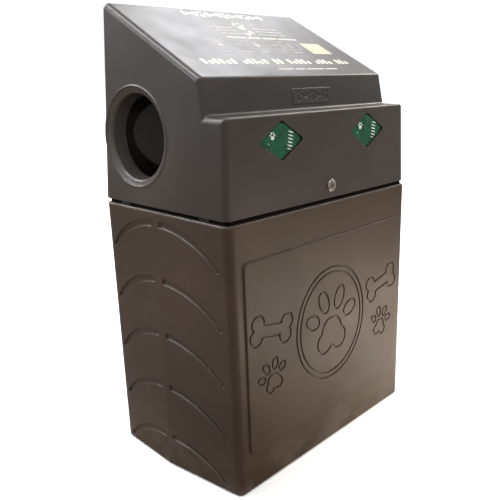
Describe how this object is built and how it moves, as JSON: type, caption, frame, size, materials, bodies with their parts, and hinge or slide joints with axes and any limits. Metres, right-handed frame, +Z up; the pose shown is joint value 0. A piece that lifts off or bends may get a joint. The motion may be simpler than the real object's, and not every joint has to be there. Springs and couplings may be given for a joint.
{
  "type": "dog waste bin",
  "caption": "Free-standing moulded dog waste bin with a hinged locking hood, round side chutes and diamond bag windows.",
  "frame": {"origin": "on the ground under the middle of the bin", "axes": "+Z up, front faces -Y, +X to the right of someone facing the front"},
  "size_m": [0.6618, 0.4226, 1.0324],
  "materials": {
    "bin_plastic": "satin, fine moulded texture",
    "hood_plastic": "satin, fine moulded texture",
    "stainless": "brushed",
    "lock_chrome": "polished, slightly weathered",
    "zinc_steel": "dull zinc plate",
    "hoop_coating": "black powder coat",
    "liner_film": "thin crinkled film",
    "bumper_rubber": "matte",
    "bag_film": "thin creased film",
    "header_board": "uncoated board",
    "tray_plastic": "smooth sheet"
  },
  "bodies": {
    "bin": {"bin_shell": "bin_plastic", "bin_hinge_leaf": "stainless", "bin_leaf_rivets": "zinc_steel", "bin_backing_strip": "zinc_steel", "keeper": "stainless", "keeper_screws": "zinc_steel", "liner_hoop": "hoop_coating", "hoop_clips": "stainless", "liner_bag": "liner_film", "rim_bumpers": "bumper_rubber"},
    "hood": {"hood_shell": "hood_plastic", "hood_hinge_leaf": "stainless", "hinge_pin": "stainless", "hood_leaf_rivets": "zinc_steel", "hood_backing_strip": "zinc_steel", "bag_tray": "tray_plastic", "bag_pack_left": "bag_film", "bag_pack_right": "bag_film", "header_card_left": "header_board", "header_card_right": "header_board", "clamp_bars": "stainless", "stud_inserts": "zinc_steel", "dispenser_studs": "zinc_steel", "stud_spacers": "tray_plastic", "wing_nuts": "zinc_steel", "lock_body": "lock_chrome", "lock_washer": "zinc_steel", "lock_nut": "zinc_steel", "dust_cover_rivet": "lock_chrome"},
    "lock_rotor": {"lock_plug": "lock_chrome", "lock_cam": "zinc_steel", "lock_cam_screw": "zinc_steel"},
    "dust_cover": {"lock_dust_cover": "lock_chrome"}
  },
  "joints": [
    {"name": "hood_hinge", "type": "hinge", "parent": "bin", "child": "hood", "pos_m": [0, 0.2074, 0.6145], "axis": [-1, 0, 0], "range_deg": [0, 100]},
    {"name": "lock_turn", "type": "hinge", "parent": "hood", "child": "lock_rotor", "pos_m": [0.01, -0.197, 0.647], "axis": [0, 1, 0], "range_deg": [0, 90]},
    {"name": "dust_cover_swing", "type": "hinge", "parent": "hood", "child": "dust_cover", "pos_m": [0.01, -0.2008, 0.657], "axis": [0, 1, 0], "range_deg": [0, 95]}
  ]
}
